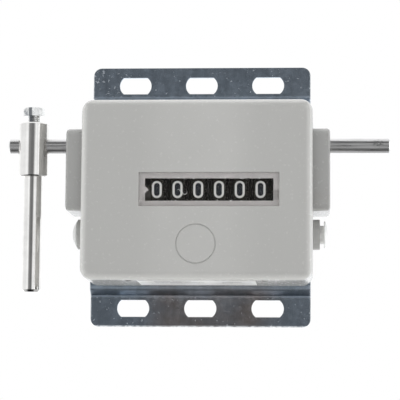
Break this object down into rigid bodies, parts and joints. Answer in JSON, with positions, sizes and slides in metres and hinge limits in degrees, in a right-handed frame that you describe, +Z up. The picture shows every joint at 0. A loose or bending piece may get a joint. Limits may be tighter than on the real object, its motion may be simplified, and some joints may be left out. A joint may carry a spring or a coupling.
{
  "type": "mechanical stroke counter",
  "caption": "Boxed mechanical counter with number wheels behind a window, a lever on a through shaft, a push-button reset and a cranked bracket with slots.",
  "frame": {"origin": "centre of the fixing slots, on the plane that the bracket's flanges are mounted against", "axes": "+X to the right along the drive shaft, +Y back into the mounting surface, +Z up"},
  "size_m": [0.1578, 0.036, 0.1094],
  "materials": {
    "zinc_sheet": "bright zinc-plated sheet steel",
    "grey_cover": "light grey moulded plastic, fine satin",
    "mask_grey": "pinkish grey satin plastic",
    "clear_pane": "clear plastic pane",
    "label_white": "white film label",
    "frame_steel": "plated frame steel",
    "spring_steel": "spring steel",
    "bush_bronze": "sintered bronze",
    "shaft_steel": "ground dark steel",
    "lever_nickel": "bright nickel plate",
    "screw_zinc": "bright zinc plate",
    "wheel_black": "black moulded plastic",
    "white_acetal": "natural acetal",
    "button_white": "white moulded plastic"
  },
  "bodies": {
    "frame": {"mounting_bracket": "zinc_sheet", "front_cover": "grey_cover", "window_pane": "clear_pane", "window_mask": "mask_grey", "type_label": "label_white", "left_side_plate": "frame_steel", "right_side_plate": "frame_steel", "frame_rivets": "frame_steel", "frame_stay": "frame_steel", "catch_bar": "frame_steel", "left_shaft_bush": "bush_bronze", "right_shaft_bush": "bush_bronze", "return_spring": "spring_steel", "detent_spring": "spring_steel", "wheel_axle": "frame_steel", "long_spacer": "white_acetal", "short_spacer": "white_acetal", "axle_clips": "spring_steel", "pinion_axle": "frame_steel", "blanking_plug": "button_white", "reset_spring": "spring_steel"},
    "stroke_shaft": {"drive_shaft": "shaft_steel", "shaft_rings": "spring_steel", "lever": "lever_nickel", "lever_screw": "screw_zinc", "feed_arm": "frame_steel", "spring_collar": "frame_steel", "hub_pins": "frame_steel", "pawl_pin": "frame_steel", "pawl_spring": "spring_steel"},
    "pawl": {"feed_pawl": "frame_steel"},
    "units_wheel": {"units_wheel": "wheel_black"},
    "tens_wheel": {"tens_wheel": "wheel_black"},
    "hundreds_wheel": {"hundreds_wheel": "wheel_black"},
    "thousands_wheel": {"thousands_wheel": "wheel_black"},
    "ten_thousands_wheel": {"ten_thousands_wheel": "wheel_black"},
    "hundred_thousands_wheel": {"hundred_thousands_wheel": "wheel_black"},
    "tens_pinion": {"tens_pinion": "white_acetal"},
    "hundreds_pinion": {"hundreds_pinion": "white_acetal"},
    "thousands_pinion": {"thousands_pinion": "white_acetal"},
    "ten_thousands_pinion": {"ten_thousands_pinion": "white_acetal"},
    "hundred_thousands_pinion": {"hundred_thousands_pinion": "white_acetal"},
    "reset_button": {"reset_button": "button_white"},
    "reset_comb": {"reset_comb": "frame_steel"}
  },
  "joints": [
    {"name": "lever_stroke", "type": "hinge", "parent": "frame", "child": "stroke_shaft", "pos_m": [0, -0.012, 0.0196], "axis": [-1, 0, 0], "range_deg": [0, 60], "stiffness_Nm_per_rad": 0.06, "springref_deg": -20.05, "deforming": ["return_spring"]},
    {"name": "pawl_tilt", "type": "hinge", "parent": "stroke_shaft", "child": "pawl", "pos_m": [0.0293, -0.012, 0.0106], "axis": [-1, 0, 0], "range_deg": [0, 15], "stiffness_Nm_per_rad": 0.0004, "springref_deg": -17.19, "deforming": ["pawl_spring"]},
    {"name": "units_turn", "type": "hinge", "parent": "frame", "child": "units_wheel", "pos_m": [0, -0.0195, -0.001], "axis": [1, 0, 0], "continuous": true},
    {"name": "tens_turn", "type": "hinge", "parent": "frame", "child": "tens_wheel", "pos_m": [0, -0.0195, -0.001], "axis": [1, 0, 0], "continuous": true},
    {"name": "hundreds_turn", "type": "hinge", "parent": "frame", "child": "hundreds_wheel", "pos_m": [0, -0.0195, -0.001], "axis": [1, 0, 0], "continuous": true},
    {"name": "thousands_turn", "type": "hinge", "parent": "frame", "child": "thousands_wheel", "pos_m": [0, -0.0195, -0.001], "axis": [1, 0, 0], "continuous": true},
    {"name": "ten_thousands_turn", "type": "hinge", "parent": "frame", "child": "ten_thousands_wheel", "pos_m": [0, -0.0195, -0.001], "axis": [1, 0, 0], "continuous": true},
    {"name": "hundred_thousands_turn", "type": "hinge", "parent": "frame", "child": "hundred_thousands_wheel", "pos_m": [0, -0.0195, -0.001], "axis": [1, 0, 0], "continuous": true},
    {"name": "tens_pinion_turn", "type": "hinge", "parent": "frame", "child": "tens_pinion", "pos_m": [0, -0.0096, -0.0109], "axis": [1, 0, 0], "continuous": true},
    {"name": "hundreds_pinion_turn", "type": "hinge", "parent": "frame", "child": "hundreds_pinion", "pos_m": [0, -0.0096, -0.0109], "axis": [1, 0, 0], "continuous": true},
    {"name": "thousands_pinion_turn", "type": "hinge", "parent": "frame", "child": "thousands_pinion", "pos_m": [0, -0.0096, -0.0109], "axis": [1, 0, 0], "continuous": true},
    {"name": "ten_thousands_pinion_turn", "type": "hinge", "parent": "frame", "child": "ten_thousands_pinion", "pos_m": [0, -0.0096, -0.0109], "axis": [1, 0, 0], "continuous": true},
    {"name": "hundred_thousands_pinion_turn", "type": "hinge", "parent": "frame", "child": "hundred_thousands_pinion", "pos_m": [0, -0.0096, -0.0109], "axis": [1, 0, 0], "continuous": true},
    {"name": "reset_press", "type": "slide", "parent": "frame", "child": "reset_button", "axis": [-1, 0, 0], "range_m": [0, 0.0015], "stiffness_N_per_m": 900, "springref_m": -0.0035, "deforming": ["reset_spring"]},
    {"name": "comb_swing", "type": "hinge", "parent": "frame", "child": "reset_comb", "pos_m": [0, -0.027, -0.01635], "axis": [1, 0, 0], "range_deg": [0, 5.3]}
  ],
  "couplings": [
    {"joint": "tens_turn", "follows": "units_turn", "ratio": 0.1},
    {"joint": "hundreds_turn", "follows": "units_turn", "ratio": 0.01},
    {"joint": "thousands_turn", "follows": "units_turn", "ratio": 0.001},
    {"joint": "ten_thousands_turn", "follows": "units_turn", "ratio": 0.0001},
    {"joint": "hundred_thousands_turn", "follows": "units_turn", "ratio": 0.00001},
    {"joint": "tens_pinion_turn", "follows": "units_turn", "ratio": -0.25},
    {"joint": "hundreds_pinion_turn", "follows": "units_turn", "ratio": -0.025},
    {"joint": "thousands_pinion_turn", "follows": "units_turn", "ratio": -0.0025},
    {"joint": "ten_thousands_pinion_turn", "follows": "units_turn", "ratio": -0.00025},
    {"joint": "hundred_thousands_pinion_turn", "follows": "units_turn", "ratio": -0.000025},
    {"joint": "comb_swing", "follows": "reset_press", "rad_per_m": 61.66}
  ]
}
